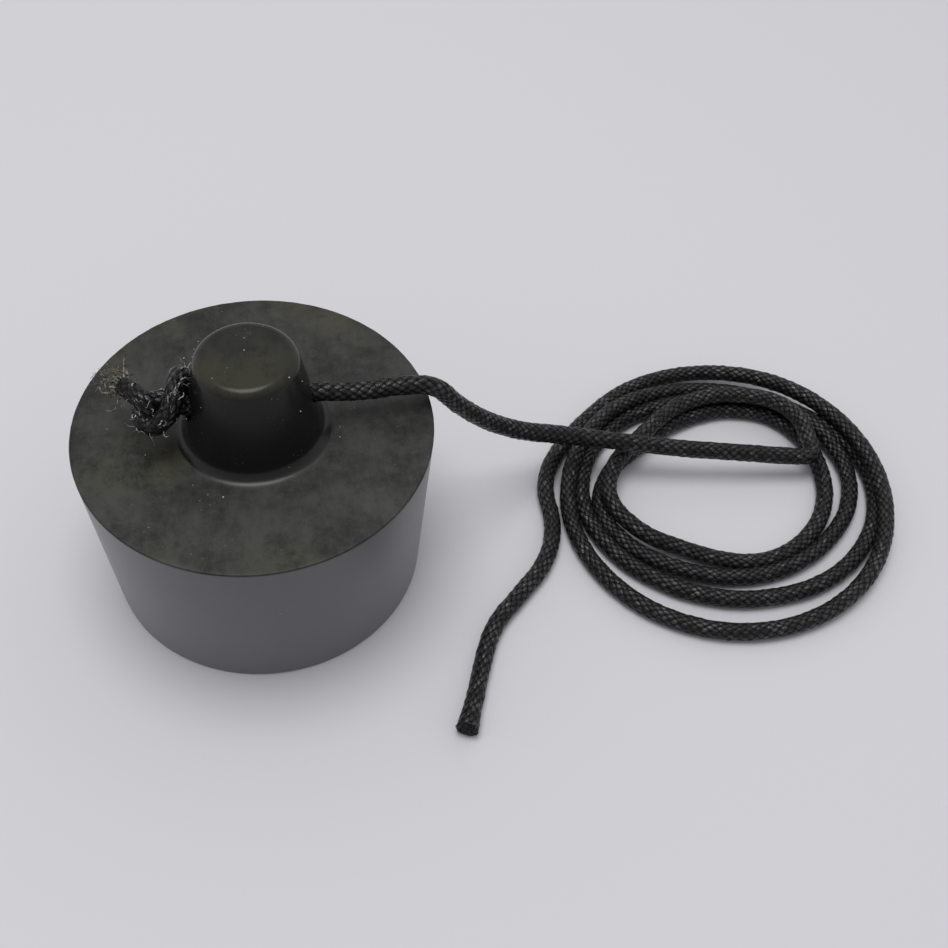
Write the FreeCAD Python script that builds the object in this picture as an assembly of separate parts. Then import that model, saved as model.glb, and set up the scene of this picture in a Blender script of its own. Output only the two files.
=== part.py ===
import FreeCAD, Part
import math
import os

# Rubber drain bung for a small boat, with the braided cord that keeps it aboard.
# Millimetres. The foot of the bung stands on z = 0 and its axis is Z.
# The cord's bore runs along X, and the cord leads off towards +X.

os.makedirs("parts", exist_ok=True)
Vector = FreeCAD.Vector
UP = Vector(0, 0, 1)

# Bung: a tapered plug that is pushed into the drain from above
TOP_D = 70.0
FOOT_D = 65.0
BUNG_H = 40.0
RIM_BREAK = 0.3
FOOT_BREAK = 0.8

# Boss: the tapered grip moulded on top, with the cord's hole through it
BOSS_H = 19.4
BOSS_TOP_D = 19.0
BOSS_FOOT_D = 27.0
BOSS_TOP_EDGE_R = 2.2
BOSS_FOOT_R = 2.5

# Cord and the hole that it passes through
CORD_D = 4.0
BORE_CLEARANCE = 0.3
BORE_RISE = 8.0
MOUTH_BREAK = 0.8

# Stopper knot, drawn up against the boss on the side away from the lead.
# KNOT_SHIFT is aside and upwards from the bore's axis, and KNOT_END is measured from the bore's middle.
KNOT_D = 9.4
KNOT_L = 8.0
KNOT_BREAK = 2.2
KNOT_GAP = 0.1
KNOT_SHIFT = (0.6, 1.0)
KNOT_END = [(-20.5, 3.4, 1.8), (-25.0, 8.0, 2.0)]

# Coil: the cord's turns as they lie beside the bung, two cords deep
COIL_MIDDLE = (103.6, -6.6)
COIL_OUT_D = 78.8
COIL_HOLE_MIDDLE = (103.0, -4.4)
COIL_HOLE = (48.0, 38.6)
COIL_LAYERS = 2
COIL_BREAK = 1.5
SEAT_DEPTH = 2.0
SEAT_CLEARANCE = 0.2

# Share of the shorter run that an arc of the cord's route uses at each end
ARC_SHARE = 0.45

bore_z = BUNG_H + BORE_RISE
bore_r = CORD_D / 2 + BORE_CLEARANCE
boss_slope = (BOSS_FOOT_D - BOSS_TOP_D) / 2 / BOSS_H
boss_r_at_bore = BOSS_FOOT_D / 2 - boss_slope * BORE_RISE
floor_z = CORD_D / 2

# The cord's route by hand: over the rim, down, and across the coil into its hole
knot_face_x = -(boss_r_at_bore + KNOT_GAP)
LEAD = [
    (knot_face_x, 0.0, bore_z),
    (12.5, 0.0, bore_z),
    (38.0, 1.0, 47.8),
    (46.5, 2.8, 36.5),
    (55.0, 5.0, 22.0),
    (65.5, 7.6, 12.4),
    (83.0, 5.0, 10.6),
    (105.0, -1.8, 5.9),
    (128.0, -3.9, 5.9),
]

# The loose end, from the coil's outer turn along the surface that the bung stands on
TAIL = [
    (69.0, 12.0, floor_z),
    (62.0, 2.4, floor_z),
    (61.6, -9.0, floor_z),
    (54.8, -20.6, floor_z),
    (44.0, -30.4, floor_z),
    (38.4, -42.0, floor_z),
    (32.2, -54.0, floor_z),
]


def write(shape, node):
    """Save one piece as parts/NODE.step."""
    shape.exportStep(os.path.join("parts", node + ".step"))
    print(node, "volume %.1f mm3" % shape.Volume, "valid", shape.isValid())


def rounded(shape, radius, height, edge_r):
    """Round the circular edge of shape that lies at height with the radius edge_r about Z."""
    edges = []
    for edge in shape.Edges:
        if isinstance(edge.Curve, Part.Circle):
            rise = abs(edge.Curve.Center.z - height)
            spread = abs(edge.Curve.Radius - edge_r)
            if max(rise, spread) < 1e-6:
                edges.append(edge)
    return shape.makeFillet(radius, edges)


def bung_and_boss():
    """One moulding: the taper and the boss are turned from one outline, then the boss is rounded."""
    boss_top_z = BUNG_H + BOSS_H
    taper = (TOP_D - FOOT_D) / 2 / BUNG_H
    outline = Part.makePolygon([
        Vector(0, 0, 0),
        Vector(FOOT_D / 2 - FOOT_BREAK, 0, 0),
        Vector(FOOT_D / 2 + taper * FOOT_BREAK, 0, FOOT_BREAK),
        Vector(TOP_D / 2 - taper * RIM_BREAK, 0, BUNG_H - RIM_BREAK),
        Vector(TOP_D / 2 - RIM_BREAK, 0, BUNG_H),
        Vector(BOSS_FOOT_D / 2, 0, BUNG_H),
        Vector(BOSS_TOP_D / 2, 0, boss_top_z),
        Vector(0, 0, boss_top_z),
        Vector(0, 0, 0),
    ])
    body = Part.Face(outline).revolve(Vector(0, 0, 0), UP, 360)
    body = rounded(body, BOSS_FOOT_R, BUNG_H, BOSS_FOOT_D / 2)
    return rounded(body, BOSS_TOP_EDGE_R, boss_top_z, BOSS_TOP_D / 2)


def bore_cutter():
    """The cord's hole along X: a straight bore that flares at each wall of the boss."""
    across = Vector(1, 0, 0)
    middle = Vector(0, 0, bore_z)
    flare_x = boss_r_at_bore - MOUTH_BREAK
    flare_l = BOSS_FOOT_D / 2 - flare_x
    bore = Part.makeCylinder(bore_r, 2 * flare_x, middle - across * flare_x, across)
    mouths = []
    for side in (across, -across):
        mouths.append(Part.makeCone(bore_r, bore_r + flare_l, flare_l, middle + side * flare_x, side))
    return bore.fuse(mouths)


def route_wire(points, name):
    """Straight runs joined by tangent arcs, each arc as large as its two runs allow."""
    corners = [Vector(*point) for point in points]
    edges = []
    start = corners[0]
    radii = []
    for before, corner, after in zip(corners, corners[1:], corners[2:]):
        run_in = corner - before
        run_out = after - corner
        reach = ARC_SHARE * min(run_in.Length, run_out.Length)
        turn = run_in.getAngle(run_out)
        radius = reach / math.tan(turn / 2)
        back = Vector(run_in).normalize()
        ahead = Vector(run_out).normalize()
        arc_start = corner - back * reach
        arc_end = corner + ahead * reach
        inward = (ahead - back).normalize()
        sagitta = radius / math.cos(turn / 2) - radius
        edges.append(Part.LineSegment(start, arc_start).toShape())
        edges.append(Part.Arc(arc_start, corner + inward * sagitta, arc_end).toShape())
        start = arc_end
        radii.append(radius)
    edges.append(Part.LineSegment(start, corners[-1]).toShape())
    print(name, "radii mm", [round(radius, 1) for radius in radii])
    return Part.Wire(edges)


def cord_tube(points, name):
    """A round tube of the cord's section along its route."""
    path = route_wire(points, name)
    along = Vector(*points[1]) - Vector(*points[0])
    section = Part.Wire(Part.Circle(Vector(*points[0]), along, CORD_D / 2).toShape())
    tube = path.makePipeShell([section], True, False)
    expected = math.pi * CORD_D ** 2 / 4 * path.Length
    print(name, "length %.1f mm" % path.Length, "volume ratio %.4f" % (tube.Volume / expected))
    return tube


def stopper_knot():
    """The knot's outer shape: a short drum with broken edges along the bore, and the cut end."""
    across = Vector(1, 0, 0)
    centre = Vector(knot_face_x - KNOT_L, KNOT_SHIFT[0], bore_z + KNOT_SHIFT[1])
    drum = Part.makeCylinder(KNOT_D / 2, KNOT_L, centre, across)
    ends = [edge for edge in drum.Edges if edge.isClosed() and isinstance(edge.Curve, Part.Circle)]
    drum = drum.makeChamfer(KNOT_BREAK, ends)
    root = Vector(*KNOT_END[0]) + UP * bore_z
    tip = Vector(*KNOT_END[1]) + UP * bore_z
    middle = centre + across * (KNOT_L / 2)
    root_stub = Part.makeCylinder(CORD_D / 2, (root - middle).Length, middle, root - middle)
    end_stub = Part.makeCylinder(CORD_D / 2, (tip - root).Length, root, tip - root)
    return drum.fuse([root_stub, end_stub]).removeSplitter()


def seat(point, toward, depth):
    """A slot in the coil whose flat end takes the face of a cord that ends at point."""
    width = CORD_D + 2 * SEAT_CLEARANCE
    height = 2 * COIL_LAYERS * CORD_D
    slot = Part.makeBox(depth, width, height, Vector(0, -width / 2, -CORD_D))
    heading = math.degrees(math.atan2(toward[1] - point[1], toward[0] - point[0]))
    slot.rotate(Vector(0, 0, 0), UP, heading)
    slot.translate(Vector(point[0], point[1], 0))
    return slot


def cord_coil():
    """The coil's outer shape: a low ring with an oval hole, and a seat for each cord that meets it."""
    height = COIL_LAYERS * CORD_D
    middle = Vector(COIL_MIDDLE[0], COIL_MIDDLE[1], 0)
    ring = Part.makeCylinder(COIL_OUT_D / 2, height, middle)
    top_edge = [edge for edge in ring.Edges if edge.isClosed() and edge.BoundBox.ZMin > height / 2]
    ring = ring.makeChamfer(COIL_BREAK, top_edge)
    hole_middle = Vector(COIL_HOLE_MIDDLE[0], COIL_HOLE_MIDDLE[1], -CORD_D)
    oval = Part.Ellipse(hole_middle, COIL_HOLE[0] / 2, COIL_HOLE[1] / 2)
    hole = Part.Face(Part.Wire(oval.toShape())).extrude(Vector(0, 0, 2 * height))
    first_tail_run = math.dist(TAIL[0], TAIL[1])
    return ring.cut([hole, seat(LEAD[-1], LEAD[-2], SEAT_DEPTH), seat(TAIL[0], TAIL[1], first_tail_run)])


write(bung_and_boss().cut(bore_cutter()), "plug_body")
write(stopper_knot(), "cord_knot")
write(cord_tube(LEAD, "cord_lead"), "cord_lead")
write(cord_coil(), "cord_coil")
write(cord_tube(TAIL, "cord_tail"), "cord_tail")
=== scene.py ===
import math

import bpy
import numpy as np
from mathutils import Matrix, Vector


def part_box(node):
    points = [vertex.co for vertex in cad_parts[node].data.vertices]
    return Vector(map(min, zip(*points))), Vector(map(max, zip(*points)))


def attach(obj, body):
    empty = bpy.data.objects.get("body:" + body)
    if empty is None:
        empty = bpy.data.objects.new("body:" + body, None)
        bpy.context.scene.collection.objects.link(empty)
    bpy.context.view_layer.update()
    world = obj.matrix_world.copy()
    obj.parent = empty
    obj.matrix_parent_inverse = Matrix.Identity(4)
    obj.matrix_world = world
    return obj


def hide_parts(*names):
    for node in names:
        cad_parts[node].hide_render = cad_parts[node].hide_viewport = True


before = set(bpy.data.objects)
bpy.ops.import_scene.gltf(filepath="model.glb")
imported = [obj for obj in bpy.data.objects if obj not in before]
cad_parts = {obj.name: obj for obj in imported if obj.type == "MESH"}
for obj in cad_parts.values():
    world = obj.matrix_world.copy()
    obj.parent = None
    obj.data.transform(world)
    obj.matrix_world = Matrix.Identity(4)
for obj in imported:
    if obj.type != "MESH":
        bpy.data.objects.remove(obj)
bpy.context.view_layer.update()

# Bung and grip: one moulding in black rubber, turned from a single outline, then bored across for the cord.
# The mould leaves its top dull and blotchy, and the tapered wall that seals the drain is smoother and
# paler.
plug_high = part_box("plug_body")[1]
BUNG_TOP_R = plug_high[0]
BUNG_FOOT_R = 0.0325
BUNG_H = 0.040
GRIP_TOP_Z = plug_high[2]
GRIP_FOOT_R = 0.0135
GRIP_TOP_R = 0.0095
FOOT_ROUND = 0.0006
RIM_ROUND = 0.00028
GRIP_FOOT_ROUND = 0.0025
GRIP_TOP_ROUND = 0.0022
CORD_D = 0.004
BORE_Z = BUNG_H + 0.008
BORE_R = 0.0023
MOUTH_ROUND = 0.0008
ROW_GAP = 0.0008
AROUND = 256
RIM_RAGGED = 0.00004
FOOT_WORN = 0.00003
WINDOW_COLUMNS = 16
WINDOW_HALF_H = 0.0042


def rounded_outline(corners, rounds, steps=10):
    """A polyline of (radius, height) whose inner corners are arcs: each arc touches its two sides at
    round / tan(half the corner's angle), and its points swing evenly from the one touch to the other."""
    corners = np.array(corners)
    swing = np.linspace(0, 1, steps)[:, None]
    parts = [corners[:1]]
    for before, corner, after, radius in zip(corners, corners[1:], corners[2:], rounds):
        back = (before - corner) / np.linalg.norm(before - corner)
        ahead = (after - corner) / np.linalg.norm(after - corner)
        half = math.acos(np.dot(back, ahead)) / 2
        middle = (back + ahead) / np.linalg.norm(back + ahead)
        centre = corner + middle * radius / math.sin(half)
        first = corner + back * radius / math.tan(half) - centre
        last = corner + ahead * radius / math.tan(half) - centre
        sweep = math.pi - 2 * half
        arc = (np.sin((1 - swing) * sweep) * first + np.sin(swing * sweep) * last) / math.sin(sweep)
        parts.append(centre + arc)
    parts.append(corners[-1:])
    return np.concatenate(parts)


def filled_in(outline, gap):
    """The outline with even points added, so that none of its steps is longer than gap."""
    steps = np.linalg.norm(np.diff(outline, axis=0), axis=1)
    counts = np.maximum(np.ceil(steps / gap - 1e-6), 1).astype(int)
    where = np.concatenate([k + np.arange(count) / count for k, count in enumerate(counts)] + [[len(steps)]])
    return np.stack([np.interp(where, np.arange(len(outline)), outline[:, axis]) for axis in (0, 1)], axis=1)


def waves(angle, counts, seed):
    """A ragged ring: cosines that go round a whole number of times, each with its own phase, from -1 to
    1."""
    phases = np.random.default_rng(seed).uniform(0, 2 * np.pi, len(counts))
    return np.mean([np.cos(count * angle + phase) for count, phase in zip(counts, phases)], axis=0)


def strip(outer, inner):
    """Quads between two closed rings of as many points, facing out where the rings run anticlockwise."""
    return np.stack([outer, np.roll(outer, -1), np.roll(inner, -1), inner], axis=1)


def bung_surface():
    """Rows of the outline turned about Z, r(row) * (cos, sin), and a pole at each end. On both sides of the
    grip a window of the grid is taken out, and rings run from its edge in to the bore's mouth and through
    the bore."""
    outline = rounded_outline(
        [(0, 0), (BUNG_FOOT_R, 0), (BUNG_TOP_R, BUNG_H),
         (GRIP_FOOT_R, BUNG_H), (GRIP_TOP_R, GRIP_TOP_Z), (0, GRIP_TOP_Z)],
        [FOOT_ROUND, RIM_ROUND, GRIP_FOOT_ROUND, GRIP_TOP_ROUND])
    outline = filled_in(outline, ROW_GAP)[1:-1]
    radius, height = outline[:, :1], outline[:, 1:]
    angle = np.arange(AROUND) * 2 * np.pi / AROUND
    near_rim = np.exp(-((radius - BUNG_TOP_R) ** 2 + (height - BUNG_H) ** 2) / 0.0007 ** 2)
    ragged = RIM_RAGGED * near_rim * waves(angle, (5, 17, 31, 43, 57, 71, 90, 112), seed=3)
    near_foot = np.exp(-((radius - BUNG_FOOT_R) ** 2 + height ** 2) / 0.0009 ** 2)
    ragged = ragged - FOOT_WORN * near_foot * (1 + waves(angle, (4, 13, 29, 47), seed=4))
    spread = radius + ragged
    lifted = height + 0 * angle + ragged * near_rim
    grid = np.stack([spread * np.cos(angle), spread * np.sin(angle), lifted], axis=2)
    rows = len(outline)

    on_grip = (np.abs(height[:, 0] - BORE_Z) < WINDOW_HALF_H) & (radius[:, 0] < GRIP_FOOT_R)
    low_row, high_row = np.flatnonzero(on_grip)[[0, -1]]
    across = np.arange(-WINDOW_COLUMNS, WINDOW_COLUMNS)
    upward = np.arange(low_row, high_row)
    edge_row = np.concatenate([0 * across + low_row, upward, 0 * across + high_row, (upward + 1)[::-1]])
    edge_column = np.concatenate([across, 0 * upward + WINDOW_COLUMNS, -across, 0 * upward - WINDOW_COLUMNS])
    right_edge = edge_row * AROUND + edge_column % AROUND
    left_edge = edge_row * AROUND + (AROUND // 2 - edge_column) % AROUND

    edge = grid.reshape(-1, 3)[right_edge][:, 1:]
    turn = np.arctan2(edge[:, 1] - BORE_Z, edge[:, 0])
    toward = np.stack([np.cos(turn), np.sin(turn)], axis=1)
    mouth = np.array([0, BORE_Z]) + (BORE_R + MOUTH_ROUND) * toward
    rings = []
    for share in np.linspace(0, 1, 8)[1:]:
        flat = (1 - share) * edge + share * mouth
        wall_r = GRIP_FOOT_R - (flat[:, 1] - BUNG_H) * (GRIP_FOOT_R - GRIP_TOP_R) / (GRIP_TOP_Z - BUNG_H)
        rings.append(np.column_stack([np.sqrt(wall_r ** 2 - flat[:, 0] ** 2), flat]))
    mouth_x = rings[-1][:, 0]
    for bend in np.linspace(0, np.pi / 2, 6)[1:]:
        flat = np.array([0, BORE_Z]) + (BORE_R + MOUTH_ROUND * (1 - math.sin(bend))) * toward
        rings.append(np.column_stack([mouth_x - MOUTH_ROUND * (1 - math.cos(bend)), flat]))
    bore_x = rings[-1][:, 0]
    rings += [np.column_stack([bore_x * share, rings[-1][:, 1:]]) for share in (0.6, 0.25)]
    middle = np.column_stack([0 * bore_x, rings[-1][:, 1:]])

    points = np.concatenate([grid.reshape(-1, 3)] + rings + [ring * (-1, 1, 1) for ring in rings]
                            + [middle, [[0, 0, 0], [0, 0, GRIP_TOP_Z]]])
    count = len(edge)
    start = rows * AROUND
    ring_ids = start + np.arange(2 * len(rings) + 1)[:, None] * count + np.arange(count)
    right = [right_edge] + list(ring_ids[:len(rings)]) + [ring_ids[-1]]
    left = [left_edge] + list(ring_ids[len(rings):-1]) + [ring_ids[-1]]
    quads = [strip(outer, inner) for outer, inner in zip(right, right[1:])]
    quads += [strip(outer, inner)[:, ::-1] for outer, inner in zip(left, left[1:])]

    row, column = np.meshgrid(np.arange(rows - 1), np.arange(AROUND), indexing="ij")
    turned_column = (column + WINDOW_COLUMNS) % (AROUND // 2)
    cut = (row >= low_row) & (row < high_row) & (turned_column < 2 * WINDOW_COLUMNS)
    row, column = row[~cut], column[~cut]
    after = (column + 1) % AROUND
    quads.append(np.stack([row * AROUND + column, row * AROUND + after, (row + 1) * AROUND + after,
                           (row + 1) * AROUND + column], axis=1))
    first = np.arange(AROUND)
    last = (rows - 1) * AROUND + first
    foot_pole, top_pole = len(points) - 2, len(points) - 1
    fans = [np.stack([0 * first + foot_pole, np.roll(first, -1), first], axis=1),
            np.stack([0 * first + top_pole, last, np.roll(last, -1)], axis=1)]
    return points, np.concatenate(quads), np.concatenate(fans)


def made_mesh(name, points, faces):
    """A smooth-shaded object at the origin from an array of points and a list of arrays of faces."""
    mesh = bpy.data.meshes.new(name)
    mesh.from_pydata(points.tolist(), [], [face for group in faces for face in group.tolist()])
    mesh.polygons.foreach_set("use_smooth", np.ones(len(mesh.polygons), bool))
    mesh.update()
    piece = bpy.data.objects.new(name, mesh)
    bpy.context.scene.collection.objects.link(piece)
    return piece


def new_finish(name, **sockets):
    """A material with a Principled shader, its constants set on the shader's own sockets."""
    material = bpy.data.materials.new(name)
    material.use_nodes = True
    shader = material.node_tree.nodes["Principled BSDF"]
    for socket, value in sockets.items():
        shader.inputs[socket.replace("_", " ")].default_value = value
    return material, material.node_tree, shader


def node(tree, kind, inputs=None, **settings):
    """A node with its settings, and its inputs given as values or as the sockets that feed them."""
    made = tree.nodes.new(kind)
    for key, value in settings.items():
        setattr(made, key, value)
    for key, value in (inputs or {}).items():
        if isinstance(value, bpy.types.NodeSocket):
            tree.links.new(value, made.inputs[key])
        else:
            made.inputs[key].default_value = value
    return made


def calc(tree, operation, *values):
    """A Math node's result."""
    return node(tree, "ShaderNodeMath", dict(enumerate(values)), operation=operation).outputs[0]


def ranged(tree, value, low, high, out_low=0.0, out_high=1.0):
    """A value taken from low..high to out_low..out_high with soft ends."""
    inputs = {0: value, 1: low, 2: high, 3: out_low, 4: out_high}
    return node(tree, "ShaderNodeMapRange", inputs, interpolation_type="SMOOTHSTEP").outputs[0]


def noise(tree, place, scale, detail=4.0, roughness=0.55, stretch=None):
    """Noise in Object space, with scale in features a metre, drawn out along an axis by stretch."""
    if stretch:
        place = node(tree, "ShaderNodeMapping", {"Vector": place, "Scale": stretch}).outputs[0]
    inputs = {"Vector": place, "Scale": scale, "Detail": detail, "Roughness": roughness}
    return node(tree, "ShaderNodeTexNoise", inputs).outputs["Fac"]


def blend(tree, share, first, second):
    """Colour between first and second."""
    mixer = node(tree, "ShaderNodeMix", {0: share}, data_type="RGBA")
    for socket, colour in ((6, first), (7, second)):
        if isinstance(colour, bpy.types.NodeSocket):
            tree.links.new(colour, mixer.inputs[socket])
        else:
            mixer.inputs[socket].default_value = (*colour, 1)
    return mixer.outputs[2]


def moulded_rubber():
    """Black rubber, glossier on the grip. Its top skin is clouded with olive and grey, wiped in faint
    streaks and peppered with dust. The sealing wall is paler, and paler still towards its foot."""
    SKIN_DARK = (0.0062, 0.0066, 0.0054)
    SKIN_GREY = (0.0245, 0.0250, 0.0225)
    SKIN_OLIVE = (0.0285, 0.0275, 0.0160)
    GRIP_BLACK = (0.0085, 0.0085, 0.0090)
    WALL_HIGH = (0.048, 0.051, 0.056)
    WALL_LOW = (0.090, 0.090, 0.099)
    DUST = (0.34, 0.34, 0.31)
    material, tree, shader = new_finish("moulded_rubber")
    place = node(tree, "ShaderNodeTexCoord").outputs["Object"]
    parts = node(tree, "ShaderNodeSeparateXYZ", {0: place})
    height = parts.outputs["Z"]
    on_wall = ranged(tree, height, BUNG_H - 0.0007, BUNG_H - 0.0003, 1.0, 0.0)
    on_grip = ranged(tree, height, BUNG_H + 0.00002, BUNG_H + 0.00012)
    below_top = ranged(tree, height, GRIP_TOP_Z - 0.0016, GRIP_TOP_Z - 0.0004, 1.0, 0.0)
    on_flank = calc(tree, "MULTIPLY", on_grip, below_top)

    clouds = noise(tree, place, 105, 9, 0.78)
    patches = noise(tree, place, 38, 3, 0.5)
    streaks = noise(tree, place, 300, 5, 0.70, stretch=(1.9, 0.7, 1.0))
    mottle = calc(tree, "ADD", calc(tree, "MULTIPLY", clouds, 0.78), calc(tree, "MULTIPLY", streaks, 0.22))
    worn = ranged(tree, mottle, 0.32, 0.68)
    skin = blend(tree, worn, SKIN_DARK, SKIN_GREY)
    olive = calc(tree, "MULTIPLY", ranged(tree, patches, 0.45, 0.62), ranged(tree, mottle, 0.36, 0.54))
    skin = blend(tree, olive, skin, SKIN_OLIVE)
    skin = blend(tree, on_flank, skin, GRIP_BLACK)
    specks = ranged(tree, noise(tree, place, 2300, 1, 0.4), 0.735, 0.77)
    settled = calc(tree, "MULTIPLY", specks, ranged(tree, noise(tree, place, 130, 2, 0.5), 0.52, 0.66))
    skin = blend(tree, calc(tree, "MULTIPLY", settled, 0.6), skin, DUST)

    # The wall's colour grows paler towards its foot, and noise makes the change uneven.
    wall_mottle = noise(tree, place, 48, 5, 0.55, stretch=(1.0, 1.0, 0.4))
    sunk = calc(tree, "ADD", height, calc(tree, "MULTIPLY", wall_mottle, 0.016))
    wall = blend(tree, ranged(tree, sunk, 0.006, 0.048, 1.0, 0.0), WALL_HIGH, WALL_LOW)
    wall_specks = ranged(tree, noise(tree, place, 900, 2, 0.5), 0.76, 0.80)
    wall = blend(tree, calc(tree, "MULTIPLY", wall_specks, 0.3), wall, DUST)
    tree.links.new(blend(tree, on_wall, skin, wall), shader.inputs["Base Color"])

    sheen = calc(tree, "ADD", 0.26, calc(tree, "MULTIPLY", worn, 0.28))
    grip_sheen = ranged(tree, height, BUNG_H + 0.0005, BUNG_H + 0.0030, 0.34, 0.25)
    sheen = node(tree, "ShaderNodeMix", {0: on_grip, 2: sheen, 3: grip_sheen}).outputs[0]
    sheen = node(tree, "ShaderNodeMix", {0: on_wall, 2: sheen, 3: 0.78}).outputs[0]
    tree.links.new(sheen, shader.inputs["Specular IOR Level"])
    dull = ranged(tree, clouds, 0.3, 0.7, 0.40, 0.56)
    dull = node(tree, "ShaderNodeMix", {0: on_grip, 2: dull, 3: 0.27}).outputs[0]
    dull = node(tree, "ShaderNodeMix", {0: on_wall, 2: dull, 3: 0.30}).outputs[0]
    tree.links.new(dull, shader.inputs["Roughness"])
    grain = noise(tree, place, 2600, 3, 0.6)
    swirl = noise(tree, place, 240, 3, 0.5)
    relief = calc(tree, "ADD", grain, calc(tree, "MULTIPLY", swirl, 1.6))
    bump = node(tree, "ShaderNodeBump", {"Strength": 0.22, "Distance": 0.00005, "Height": relief})
    tree.links.new(bump.outputs[0], shader.inputs["Normal"])
    return material


bung_points, bung_quads, bung_fans = bung_surface()
bung = made_mesh("bung", bung_points, [bung_quads, bung_fans])
bung.data.materials.append(moulded_rubber())
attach(bung, "root")
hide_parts("plug_body")

# Cord: about a metre of black plaited cord, 4 mm thick, threaded through the grip from the knot's side. It
# comes out of the bore, bridges to the floor and is laid in four loose turns, with its cut end drawn out.
LEAD = [
    (-0.0120, 0.0000, 0.0480), (0.0000, 0.0000, 0.0480), (0.0110, 0.0000, 0.0479), (0.0200, 0.0002, 0.0456),
    (0.0290, 0.0005, 0.0454), (0.0360, 0.0008, 0.0440), (0.0410, 0.0020, 0.0356), (0.0480, 0.0041, 0.0266),
    (0.0570, 0.0063, 0.0186), (0.0680, 0.0078, 0.0134), (0.0800, 0.0059, 0.0108), (0.0940, 0.0024, 0.0092),
    (0.1080, -0.0006, 0.0082), (0.1195, -0.0027, 0.0068),
]
FOLD = [(0.1264, -0.0040, 0.0066), (0.1269, 0.0018, 0.0068), (0.1270, 0.0076, 0.0072)]
COIL_MIDDLE = (0.104, -0.006)
COIL_REACH = [
    (0.0276, 0.0254, 0.0224),
    (0.0294, 0.0204, 0.0210, 0.0220, 0.0249, 0.0278, 0.0230, 0.0226),
    (0.0312, 0.0264, 0.0243, 0.0259, 0.0315, 0.0299, 0.0276, 0.0314),
    (0.0344, 0.0315, 0.0303, 0.0333, 0.0366, 0.0322, 0.0315, 0.0338),
    (0.0381, 0.0396, 0.0383, 0.0377, 0.0363, 0.0361, 0.0368, 0.0370),
]
COIL_RISE = [
    (0.0075, 0.0053, 0.0058),
    (0.0054, 0.0020, 0.0020, 0.0020, 0.0020, 0.0020, 0.0020, 0.0020),
    (0.0020, 0.0020, 0.0020, 0.0020, 0.0020, 0.0049, 0.0020, 0.0020),
    (0.0020, 0.0020, 0.0020, 0.0020, 0.0020, 0.0020, 0.0020, 0.0049),
    (0.0020, 0.0020, 0.0020, 0.0034, 0.0053, 0.0050, 0.0022, 0.0020),
]
TAIL = [
    (0.0676, 0.0112, 0.0020), (0.0627, 0.0024, 0.0020),
    (0.0627, -0.0078, 0.0020), (0.0588, -0.0170, 0.0020),
    (0.0512, -0.0240, 0.0020), (0.0431, -0.0306, 0.0020),
    (0.0387, -0.0390, 0.0020), (0.0353, -0.0470, 0.0020),
    (0.0321, -0.0534, 0.0025),
]
YARNS = 8
PLAIT_STEP = 0.0021
SHEATH_R = 0.00168
PLAIT_RELIEF = 0.00031
ROWS_A_STEP = 4.5


def smooth_between(stations, count):
    """Values at count even steps along a row of stations, on the cubic that passes through each of them
    with the slope of its two neighbours."""
    padded = np.concatenate([stations[:1], stations, stations[-1:]])
    where = np.linspace(0, len(stations) - 1, count)
    left = np.minimum(where.astype(int), len(stations) - 2)
    t = where - left
    before, start, end, after = (padded[left + k] for k in range(4))
    bend = 2 * before - 5 * start + 4 * end - after + t * (3 * (start - end) + after - before)
    return start + 0.5 * t * (end - before + t * bend)


def coil_turns():
    """The turns: reach and rise smoothed between stations an eighth of a turn apart, 16 points a turn."""
    reach = np.concatenate(COIL_REACH)
    rise = np.concatenate(COIL_RISE)
    count = 2 * len(reach) - 1
    angle = math.pi / 4 + np.arange(count) * math.pi / 8
    out = smooth_between(reach, count)
    up = np.maximum(smooth_between(rise, count), CORD_D / 2)
    return np.stack([COIL_MIDDLE[0] + out * np.cos(angle), COIL_MIDDLE[1] + out * np.sin(angle), up], axis=1)


def spline_line(points, resolution=28):
    """The points that a NURBS line of order 3 with these control points passes through."""
    curve = bpy.data.curves.new("line", "CURVE")
    curve.dimensions = "3D"
    curve.resolution_u = resolution
    spline = curve.splines.new("NURBS")
    spline.points.add(len(points) - 1)
    spline.points.foreach_set("co", np.column_stack([points, np.ones(len(points))]).ravel())
    spline.order_u = 3
    spline.use_endpoint_u = True
    holder = bpy.data.objects.new("line", curve)
    mesh = bpy.data.meshes.new_from_object(holder)
    line = np.empty(len(mesh.vertices) * 3)
    mesh.vertices.foreach_get("co", line)
    bpy.data.objects.remove(holder)
    bpy.data.curves.remove(curve)
    bpy.data.meshes.remove(mesh)
    return line.reshape(-1, 3)


def stepped(line, step):
    """The line in even steps, its distance along, and at each point the directions ahead, up and aside."""
    along = np.concatenate([[0], np.cumsum(np.linalg.norm(np.diff(line, axis=0), axis=1))])
    count = int(round(along[-1] / step)) + 1
    even = np.linspace(0, along[-1], count)
    centre = np.stack([np.interp(even, along, line[:, axis]) for axis in range(3)], axis=1)
    ahead = np.gradient(centre, axis=0)
    ahead /= np.linalg.norm(ahead, axis=1, keepdims=True)
    upward = np.array([0, 0, 1]) - ahead * ahead[:, 2:]
    upward /= np.linalg.norm(upward, axis=1, keepdims=True)
    return centre, even, ahead, upward, np.cross(ahead, upward)


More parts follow.
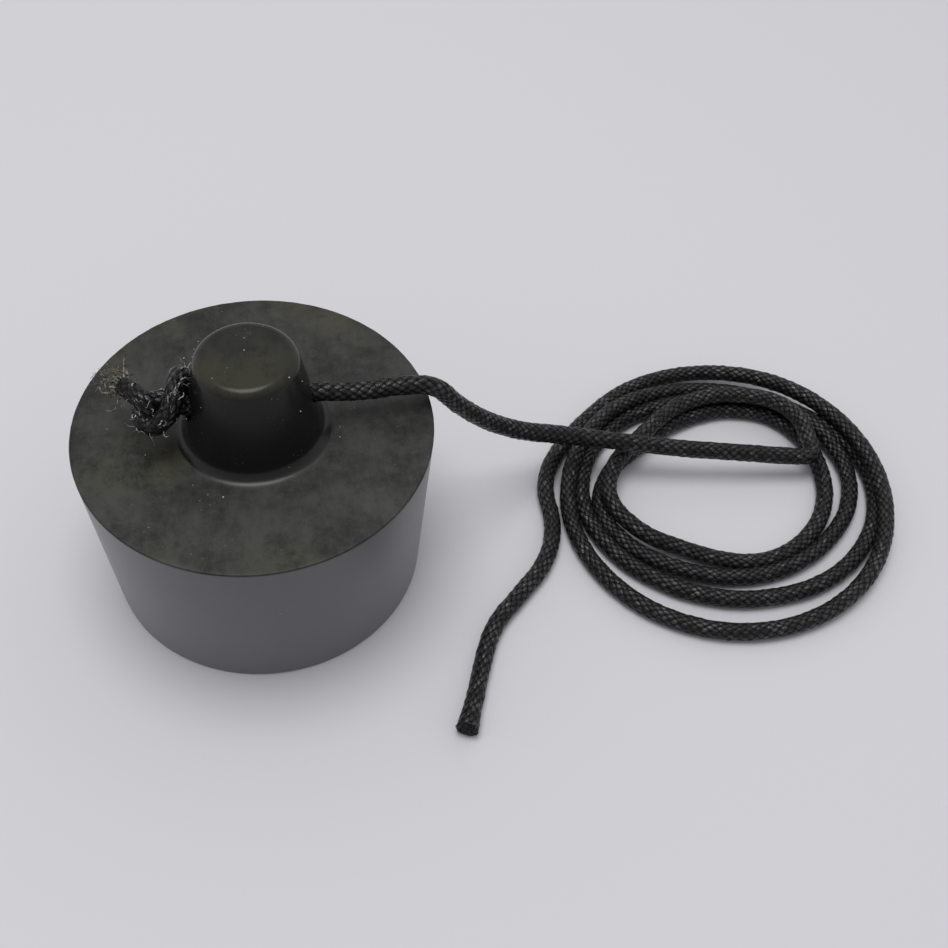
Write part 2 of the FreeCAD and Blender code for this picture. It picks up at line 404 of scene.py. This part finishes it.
def plait_height(first, second, seed):
    """Height of a plaited sheath from 0 to about 1. Yarns of one way fill the bands of a whole first, those
    of the other way the bands of a whole second. Each is round across its band, and rises over every other
    crossing and dips under the next, and the higher of the two yarns shows. No two crossings are drawn
    quite as tight."""
    one_way, other_way = np.floor(first), np.floor(second)
    over = 1 - 2 * ((one_way + other_way) % 2)
    across = first - one_way - 0.5
    beside = second - other_way - 0.5
    one = 0.6 * np.sqrt(np.maximum(1 - 4 * across ** 2, 0)) + 0.4 * over * np.cos(np.pi * beside)
    other = 0.6 * np.sqrt(np.maximum(1 - 4 * beside ** 2, 0)) - 0.4 * over * np.cos(np.pi * across)
    along = (one_way - other_way).astype(int)
    tightness = np.random.default_rng(seed).uniform(0.62, 1.1, (along.max() - along.min() + 1, 2 * YARNS))
    drawn = tightness[along - along.min(), (one_way + other_way).astype(int) % (2 * YARNS)]
    return np.maximum(np.maximum(one, other), 0) * drawn


def plaited_tube(name, line, radius_of, seed, columns=40):
    """A tube about the line: radius_of(distance) plus the plait's height, with the count of yarns passed
    each way kept as the UV map that the sheath's material reads."""
    centre, along, ahead, upward, aside = stepped(line, PLAIT_STEP / ROWS_A_STEP)
    rows = len(centre)
    share = np.arange(columns) / columns
    twists = np.random.default_rng(seed).uniform(-0.6, 0.6, max(int(along[-1] / 0.03), 4))
    drift = smooth_between(twists, rows)
    turn = 2 * np.pi * share + drift[:, None]
    first = YARNS * share + (along / PLAIT_STEP)[:, None]
    second = YARNS * share - (along / PLAIT_STEP)[:, None]
    out = radius_of(along)[:, None] + PLAIT_RELIEF * plait_height(first + 1e-6, second + 1e-6, seed)
    shape = (centre[:, None] + (out * np.cos(turn))[..., None] * aside[:, None]
             + (out * np.sin(turn))[..., None] * upward[:, None])
    points = np.concatenate([shape.reshape(-1, 3), [centre[0], centre[-1]]])
    row, column = np.meshgrid(np.arange(rows - 1), np.arange(columns), indexing="ij")
    row, column = row.ravel(), column.ravel()
    after = (column + 1) % columns
    quads = np.stack([row * columns + column, row * columns + after, (row + 1) * columns + after,
                      (row + 1) * columns + column], axis=1)[:, ::-1]
    ring = np.arange(columns)
    far = (rows - 1) * columns + ring
    caps = np.concatenate([np.stack([0 * ring + rows * columns, ring, np.roll(ring, -1)], axis=1),
                           np.stack([0 * ring + rows * columns + 1, np.roll(far, -1), far], axis=1)])
    tube = made_mesh(name, points, [quads, caps])
    corner_share = np.stack([column, column + 1, column + 1, column], axis=1)[:, ::-1] / columns
    corner_along = np.stack([row, row, row + 1, row + 1], axis=1)[:, ::-1] * (along[1] / PLAIT_STEP)
    passed = np.stack([YARNS * corner_share + corner_along, YARNS * corner_share - corner_along], axis=2)
    plait = np.concatenate([passed.reshape(-1, 2), np.zeros((3 * len(caps), 2))])
    tube.data.uv_layers.new(name="plait").data.foreach_set("uv", plait.astype(np.float32).ravel())
    return tube, centre


def plaited_sheath(name, yarn_black):
    """Glossy black plaited yarn. The plait comes from the UV map: painted shade, near black, in the gaps, and
    a pale painted highlight on the gleaming crests, partly worn yarn. Each crossing is tilted its own way so
    that some catch the light, with the fine threads of each yarn running along it."""
    # Near-black colour painted into the gaps between yarns as shade.
    PAINTED_GAP_SHADE = (0.0026, 0.0026, 0.0028)
    # Pale colour on the gleaming crests: partly worn yarn, partly a painted highlight.
    WORN_AND_GLINT = (0.050, 0.049, 0.052)
    THREADS = 5.0
    material, tree, shader = new_finish(name, Roughness=0.25)
    passed = node(tree, "ShaderNodeUVMap", uv_map="plait").outputs[0]
    split = node(tree, "ShaderNodeSeparateXYZ", {0: passed})
    first, second = split.outputs[0], split.outputs[1]
    one_way, other_way = calc(tree, "FLOOR", first), calc(tree, "FLOOR", second)
    across = calc(tree, "SUBTRACT", calc(tree, "SUBTRACT", first, one_way), 0.5)
    beside = calc(tree, "SUBTRACT", calc(tree, "SUBTRACT", second, other_way), 0.5)
    bands = calc(tree, "ADD", one_way, other_way)
    over = calc(tree, "SUBTRACT", 1.0, calc(tree, "MULTIPLY", calc(tree, "FLOORED_MODULO", bands, 2.0), 2.0))

    def yarn(mine, theirs, side):
        """One way's yarns: round across their band, and over or under by the crossing."""
        curve = calc(tree, "SUBTRACT", 1.0, calc(tree, "MULTIPLY", calc(tree, "POWER", mine, 2.0), 4.0))
        dome = calc(tree, "SQRT", calc(tree, "MAXIMUM", curve, 0.0))
        lift = calc(tree, "MULTIPLY", calc(tree, "COSINE", calc(tree, "MULTIPLY", theirs, math.pi)), side)
        return calc(tree, "ADD", calc(tree, "MULTIPLY", dome, 0.6), calc(tree, "MULTIPLY", lift, 0.4))

    one = yarn(across, beside, over)
    other = yarn(beside, across, calc(tree, "MULTIPLY", over, -1.0))
    height = calc(tree, "MAXIMUM", calc(tree, "MAXIMUM", one, other), 0.0)
    on_first = calc(tree, "GREATER_THAN", one, other)
    lane = node(tree, "ShaderNodeMix", {0: on_first, 2: beside, 3: across}).outputs[0]
    run = node(tree, "ShaderNodeMix", {0: on_first, 2: across, 3: beside}).outputs[0]
    crossing = node(tree, "ShaderNodeCombineXYZ", {
        0: calc(tree, "SUBTRACT", one_way, other_way), 1: calc(tree, "FLOORED_MODULO", bands, 2.0 * YARNS)})
    drawn_lots = node(tree, "ShaderNodeTexWhiteNoise", {"Vector": crossing.outputs[0]}, noise_dimensions="3D")
    chance = node(tree, "ShaderNodeSeparateColor", {0: drawn_lots.outputs["Color"]})
    threads = calc(tree, "COSINE", calc(tree, "MULTIPLY", lane, 2 * math.pi * THREADS))
    tilt_run = calc(tree, "MULTIPLY", run, calc(tree, "SUBTRACT", chance.outputs[0], 0.5))
    tilt_lane = calc(tree, "MULTIPLY", lane, calc(tree, "SUBTRACT", chance.outputs[1], 0.5))
    tilts = calc(tree, "MULTIPLY", calc(tree, "ADD", tilt_run, tilt_lane), 1.3)
    relief = calc(tree, "ADD", calc(tree, "ADD", height, calc(tree, "MULTIPLY", threads, 0.045)), tilts)
    bump = node(tree, "ShaderNodeBump", {"Strength": 0.9, "Distance": 0.00026, "Height": relief})
    tree.links.new(bump.outputs[0], shader.inputs["Normal"])

    place = node(tree, "ShaderNodeTexCoord").outputs["Object"]
    raised = ranged(tree, height, 0.45, 0.90)
    crown = ranged(tree, calc(tree, "ABSOLUTE", lane), 0.10, 0.44, 1.0, 0.0)
    picked_out = ranged(tree, chance.outputs[2], 0.30, 1.0, 0.10, 1.0)
    broken = ranged(tree, noise(tree, place, 3100, 2, 0.7), 0.42, 0.58, 0.25, 1.0)
    # Stretches where the crests gleam more, both in the specular level and in the painted highlight.
    glint_patches = ranged(tree, noise(tree, place, 280, 2, 0.5), 0.36, 0.62, 0.45, 1.0)
    picked_out = calc(tree, "MULTIPLY", picked_out, glint_patches)
    crests = calc(tree, "MULTIPLY", raised, crown)
    gleam = calc(tree, "MULTIPLY", crests, calc(tree, "MULTIPLY", picked_out, broken))
    # Painted highlight: the yarn's colour goes pale on the crests that gleam, partly worn yarn.
    yarn_colour = blend(tree, calc(tree, "MULTIPLY", gleam, 0.8), yarn_black, WORN_AND_GLINT)
    # Painted shade: the colour goes to near black where the plait is low, in the gaps between yarns.
    tree.links.new(blend(tree, raised, PAINTED_GAP_SHADE, yarn_colour), shader.inputs["Base Color"])
    sheen = calc(tree, "ADD", 0.18, calc(tree, "MULTIPLY", gleam, 0.82))
    tree.links.new(sheen, shader.inputs["Specular IOR Level"])
    return material


def cord_fatness(along):
    """Radius of the sheath: SHEATH_R with slow swells and a slack stretch, 4 to 14 cm along, where it
    bridges."""
    swell = smooth_between(np.random.default_rng(11).uniform(-1, 1, 60), len(along))
    slack = np.exp(-((along - 0.095) / 0.045) ** 4)
    cut_end = np.exp(-((along[-1] - along) / 0.0034) ** 2)
    return SHEATH_R * (1 + 0.03 * swell + 0.08 * slack + 0.26 * cut_end)


route = np.concatenate([LEAD, FOLD, coil_turns(), TAIL])
cord, cord_line = plaited_tube("cord", spline_line(route), cord_fatness, seed=7)
cord.data.materials.append(plaited_sheath("plaited_sheath", yarn_black=(0.0120, 0.0118, 0.0126)))
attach(cord, "root")
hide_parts("cord_lead", "cord_coil", "cord_tail")

# Stopper knot: the cord's near end in a tight overhand knot against the grip, which keeps it from pulling
# through. The yarns of its cut end have come apart into a tan tuft, and loose threads stand off the knot.
KNOT = [
    (-0.0105, 0.0000, 0.0480), (-0.0130, 0.0003, 0.0482),
    (-0.0156, 0.0014, 0.0488), (-0.0182, 0.0022, 0.0490),
    (-0.0202, 0.0010, 0.0482), (-0.0202, -0.0016, 0.0472),
    (-0.0185, -0.0035, 0.0472), (-0.0164, -0.0038, 0.0490),
    (-0.0142, -0.0023, 0.0517), (-0.0129, 0.0014, 0.0535),
    (-0.0123, 0.0050, 0.0521), (-0.0127, 0.0058, 0.0483),
    (-0.0140, 0.0036, 0.0452), (-0.0162, 0.0004, 0.0448),
    (-0.0177, -0.0010, 0.0470), (-0.0187, -0.0006, 0.0500),
    (-0.0202, 0.0012, 0.0512), (-0.0216, 0.0032, 0.0509), (-0.0228, 0.0047, 0.0505),
]
KNOT_MIDDLE = (-0.0166, 0.0006, 0.0492)
THREAD_WAVE = 0.34
THREAD_TAPER = 0.6
TUFT_ROOT = (-0.0225, 0.0044, 0.0506)
TUFT_WAY = (-0.67, 0.74, -0.06)
TUFT_YARNS = 46
TUFT_THREADS = 44


def threads(name, roots, ways, lengths, radii, curl, seed, rings=9, sides=5):
    """Loose threads as one mesh. Each is a closed tube from its root along its way, thinning to the tip,
    bent by a sideways swing of curl times its length that grows with the square of the distance along."""
    rng = np.random.default_rng(seed)
    count = len(roots)
    ways = ways / np.linalg.norm(ways, axis=1, keepdims=True)
    side = np.cross(ways, rng.normal(size=(count, 3)))
    side /= np.linalg.norm(side, axis=1, keepdims=True)
    other = np.cross(ways, side)
    t = np.linspace(0, 1, rings)[None, :, None]
    swings, starts = rng.uniform(0.6, 1.6, (count, 1, 1)), rng.uniform(0, 1, (count, 1, 1))
    wave = THREAD_WAVE * np.sin(2 * np.pi * (t * swings + starts))
    bend = curl * lengths[:, None, None] * (t ** 2 * side[:, None] + wave * t * other[:, None])
    centre = roots[:, None] + lengths[:, None, None] * t * ways[:, None] * (1 - 0.3 * curl * t) + bend
    turn = (np.arange(sides) * 2 * np.pi / sides)[None, None, :, None]
    thick = radii[:, None, None, None] * (1 - THREAD_TAPER * t[..., None] ** 2)
    ring_way = np.cos(turn) * side[:, None, None] + np.sin(turn) * other[:, None, None]
    skin = centre[:, :, None] + thick * ring_way
    points = np.concatenate([skin.reshape(-1, 3), centre[:, 0], centre[:, -1]])
    start = (np.arange(count) * rings * sides)[:, None, None]
    ring, column = np.arange(rings - 1)[None, :, None] * sides, np.arange(sides)[None, None]
    after = (column + 1) % sides
    quads = np.stack([start + ring + column, start + ring + after, start + ring + sides + after,
                      start + ring + sides + column], axis=3).reshape(-1, 4)
    first = (start + column).reshape(-1)
    second = (start + after).reshape(-1)
    last = (rings - 1) * sides
    near_pole = np.repeat(count * rings * sides + np.arange(count), sides)
    caps = np.concatenate([np.stack([near_pole, second, first], axis=1),
                           np.stack([near_pole + count, first + last, second + last], axis=1)])
    return made_mesh(name, points, [quads, caps])


def thread_finish(name, dark, pale, roughness):
    """One colour for each thread, picked by place between dark and pale."""
    material, tree, shader = new_finish(name, Roughness=roughness, Specular_IOR_Level=0.5)
    place = node(tree, "ShaderNodeTexCoord").outputs["Object"]
    share = ranged(tree, noise(tree, place, 1500, 2, 0.6), 0.38, 0.64)
    tree.links.new(blend(tree, share, dark, pale), shader.inputs["Base Color"])
    return material


knot, knot_line = plaited_tube("knot", spline_line(np.array(KNOT)), lambda along: SHEATH_R + 0 * along,
                               seed=5)
# The knot's yarn is painted darker than the cord's: painted shade in the packed knot.
knot.data.materials.append(plaited_sheath("knot_sheath_painted_shade", yarn_black=(0.0045, 0.0044, 0.0050)))
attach(knot, "root")
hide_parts("cord_knot")

chance = np.random.default_rng(21)
tuft_count = TUFT_YARNS + TUFT_THREADS
is_yarn = np.arange(tuft_count) < TUFT_YARNS
spread = chance.normal(size=(tuft_count, 3))
tuft_roots = np.array(TUFT_ROOT) + 0.0009 * spread
tuft_ways = np.array(TUFT_WAY) + 0.20 * spread + 0.14 * chance.normal(size=(tuft_count, 3))
thick_radii = chance.uniform(0.00016, 0.00027, tuft_count)
thin_radii = chance.uniform(0.00006, 0.00010, tuft_count)
tuft = threads("tuft", tuft_roots, tuft_ways, chance.uniform(0.0024, 0.0058, tuft_count),
               np.where(is_yarn, thick_radii, thin_radii), curl=0.62, seed=22)
tuft.data.materials.append(thread_finish("tan_threads", (0.014, 0.012, 0.008), (0.25, 0.228, 0.168), 0.45))
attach(tuft, "root")

STRAY_THREADS = 44
LAID_YARNS = 56
stray_count = STRAY_THREADS + LAID_YARNS
is_laid = np.arange(stray_count)[:, None] >= STRAY_THREADS
picked = chance.integers(12, len(knot_line) - 8, stray_count)
outward = knot_line[picked] - np.array(KNOT_MIDDLE) + 0.003 * chance.normal(size=(stray_count, 3))
outward += (0, -0.001, 0.0015)
outward /= np.linalg.norm(outward, axis=1, keepdims=True)
onward = knot_line[picked + 2] - knot_line[picked] + 0.0004 * chance.normal(size=(stray_count, 3))
onward /= np.linalg.norm(onward, axis=1, keepdims=True)
stray_roots = knot_line[picked] + np.where(is_laid, 0.0019, 0.0013) * outward
stray_ways = np.where(is_laid, onward + 0.35 * outward, outward)
laid_radii = chance.uniform(0.00011, 0.00020, stray_count)
fine_radii = chance.uniform(0.00004, 0.00008, stray_count)
strays = threads("stray_threads", stray_roots, stray_ways, chance.uniform(0.0012, 0.0030, stray_count),
                 np.where(is_laid[:, 0], laid_radii, fine_radii), curl=0.8, seed=23)
# The threads run from dark to pale grey: partly pale threads, partly painted glints on black glossy
# filaments.
strays.data.materials.append(thread_finish("grey_threads_and_glints", (0.010, 0.010, 0.011), (0.46, 0.46, 0.48), 0.35))
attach(strays, "root")

# Cut end: the far end of the cord is cut square, and its black yarns stand out of it in short ends.
cut_point = cord_line[-1]
cut_way = cord_line[-1] - cord_line[-6]
cut_way /= np.linalg.norm(cut_way)
END_THREADS = 150
end_spot = chance.normal(size=(END_THREADS, 3))
end_spot -= (end_spot @ cut_way)[:, None] * cut_way
end_spot *= (np.sqrt(chance.uniform(0, 1, END_THREADS)) / np.linalg.norm(end_spot, axis=1))[:, None]
end_roots = cut_point - 0.0004 * cut_way + 0.0020 * end_spot
end_ways = cut_way + 0.55 * end_spot + 0.15 * chance.normal(size=(END_THREADS, 3)) + (-0.05, 0, 0.05)
end_lengths = chance.uniform(0.0005, 0.0015, END_THREADS)
end_lengths *= 1 - 0.35 * np.linalg.norm(end_spot, axis=1)
end_radii = chance.uniform(0.00010, 0.00020, END_THREADS)
end_yarns = threads("end_yarns", end_roots, end_ways, end_lengths, end_radii, curl=0.35, seed=24)
end_yarns.data.materials.append(
    thread_finish("black_threads", (0.004, 0.004, 0.005), (0.012, 0.012, 0.013), 0.35))
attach(end_yarns, "root")

# Dust: pale flakes that have settled on the top of the bung and on its grip.
FLAKES = [
    (0.0000, 0.0015, 0.0594), (-0.0064, -0.0044, 0.0594),
    (0.0071, -0.0064, 0.0591), (0.0096, -0.0041, 0.0552),
    (0.0085, -0.0076, 0.0509), (-0.0092, -0.0057, 0.0535),
    (-0.0129, -0.0125, 0.0400), (-0.0104, -0.0153, 0.0400),
    (-0.0077, -0.0163, 0.0400), (0.0162, -0.0034, 0.0400),
    (0.0158, -0.0059, 0.0400), (-0.0117, 0.0204, 0.0400),
    (-0.0210, -0.0036, 0.0400), (-0.0277, 0.0042, 0.0400),
    (-0.0085, 0.0245, 0.0400), (-0.0095, 0.0225, 0.0400),
    (-0.0101, 0.0205, 0.0400), (-0.0005, -0.0342, 0.0255),
]
FLAKE_R = 0.00019
flake_spots = np.array(FLAKES)
flake_sizes = FLAKE_R * np.random.default_rng(31).uniform(0.6, 1.25, (len(FLAKES), 1, 1))
corner = np.array([(1, 0, 0), (0, 1, 0), (-1, 0, 0), (0, -1, 0), (0.2, 0.1, 0.6), (-0.1, 0.2, -0.6)])
flake_shape = corner * np.random.default_rng(32).uniform(0.6, 1.3, (len(FLAKES), 6, 1))
flake_points = (flake_spots[:, None] + flake_sizes * flake_shape).reshape(-1, 3)
side_faces = np.array([
    (0, 1, 4), (1, 2, 4), (2, 3, 4), (3, 0, 4), (1, 0, 5), (2, 1, 5), (3, 2, 5), (0, 3, 5)])
flake_faces = (np.arange(len(FLAKES))[:, None, None] * 6 + side_faces).reshape(-1, 3)
dust = made_mesh("dust", flake_points, [flake_faces])
dust.data.materials.append(new_finish("pale_dust", Base_Color=(0.42, 0.42, 0.41, 1), Roughness=0.6)[0])
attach(dust, "root")

# Floor: a plain pale surface that the bung and the cord lie on.
FLOOR_COLOUR = (0.63, 0.625, 0.655)
FLOOR_HALF = 3.0
floor_corners = FLOOR_HALF * np.array([(-1, -1, 0), (1, -1, 0), (1, 1, 0), (-1, 1, 0)])
floor = made_mesh("floor", floor_corners, [np.array([[0, 1, 2, 3]])])
floor_finish, floor_tree, floor_shader = new_finish(
    "pale_floor", Base_Color=(*FLOOR_COLOUR, 1), Roughness=0.7, Specular_IOR_Level=0.2)
floor.data.materials.append(floor_finish)

# Light: a pale room that is dimmer behind the camera, and one broad soft lamp overhead.
LAMP_PLACE = (-0.06, 0.04, 1.15)
LAMP_SIZE = 0.70
LAMP_POWER = 6.5
ROOM_BACK = 0.68
ROOM_FRONT = 0.44
lamp_data = bpy.data.lights.new("soft_lamp", "AREA")
lamp_data.shape = "DISK"
lamp_data.size = LAMP_SIZE
lamp_data.energy = LAMP_POWER
lamp = bpy.data.objects.new("soft_lamp", lamp_data)
lamp.location = LAMP_PLACE
bpy.context.scene.collection.objects.link(lamp)
world = bpy.data.worlds.new("room")
world.use_nodes = True
room = world.node_tree.nodes["Background"]
room.inputs["Color"].default_value = (0.985, 0.985, 1.0, 1)
view_way = node(world.node_tree, "ShaderNodeTexCoord").outputs["Generated"]
toward = node(world.node_tree, "ShaderNodeSeparateXYZ", {0: view_way})
glow = ranged(world.node_tree, toward.outputs["Y"], -0.7, 0.5, ROOM_FRONT, ROOM_BACK)
world.node_tree.links.new(glow, room.inputs["Strength"])
bpy.context.scene.world = world
bpy.context.scene.view_settings.view_transform = "Standard"

# Camera: the photograph's, above and in front of the bung and turned a little to its right.
CAMERA_PLACE = (-0.00333, -0.15910, 0.22352)
CAMERA_HEADING = math.radians(-17.0)
CAMERA_TILT = math.radians(90 - 51.53)
CAMERA_ROLL = math.radians(4.95)
CAMERA_LENS = 46.71
camera_data = bpy.data.cameras.new("camera")
camera_data.lens = CAMERA_LENS
camera_data.sensor_width = 36.0
camera_data.clip_start = 0.01
camera = bpy.data.objects.new("camera", camera_data)
camera.matrix_world = (Matrix.Translation(CAMERA_PLACE) @ Matrix.Rotation(CAMERA_HEADING, 4, "Z")
                       @ Matrix.Rotation(CAMERA_TILT, 4, "X") @ Matrix.Rotation(CAMERA_ROLL, 4, "Z"))
bpy.context.scene.collection.objects.link(camera)
bpy.context.scene.camera = camera
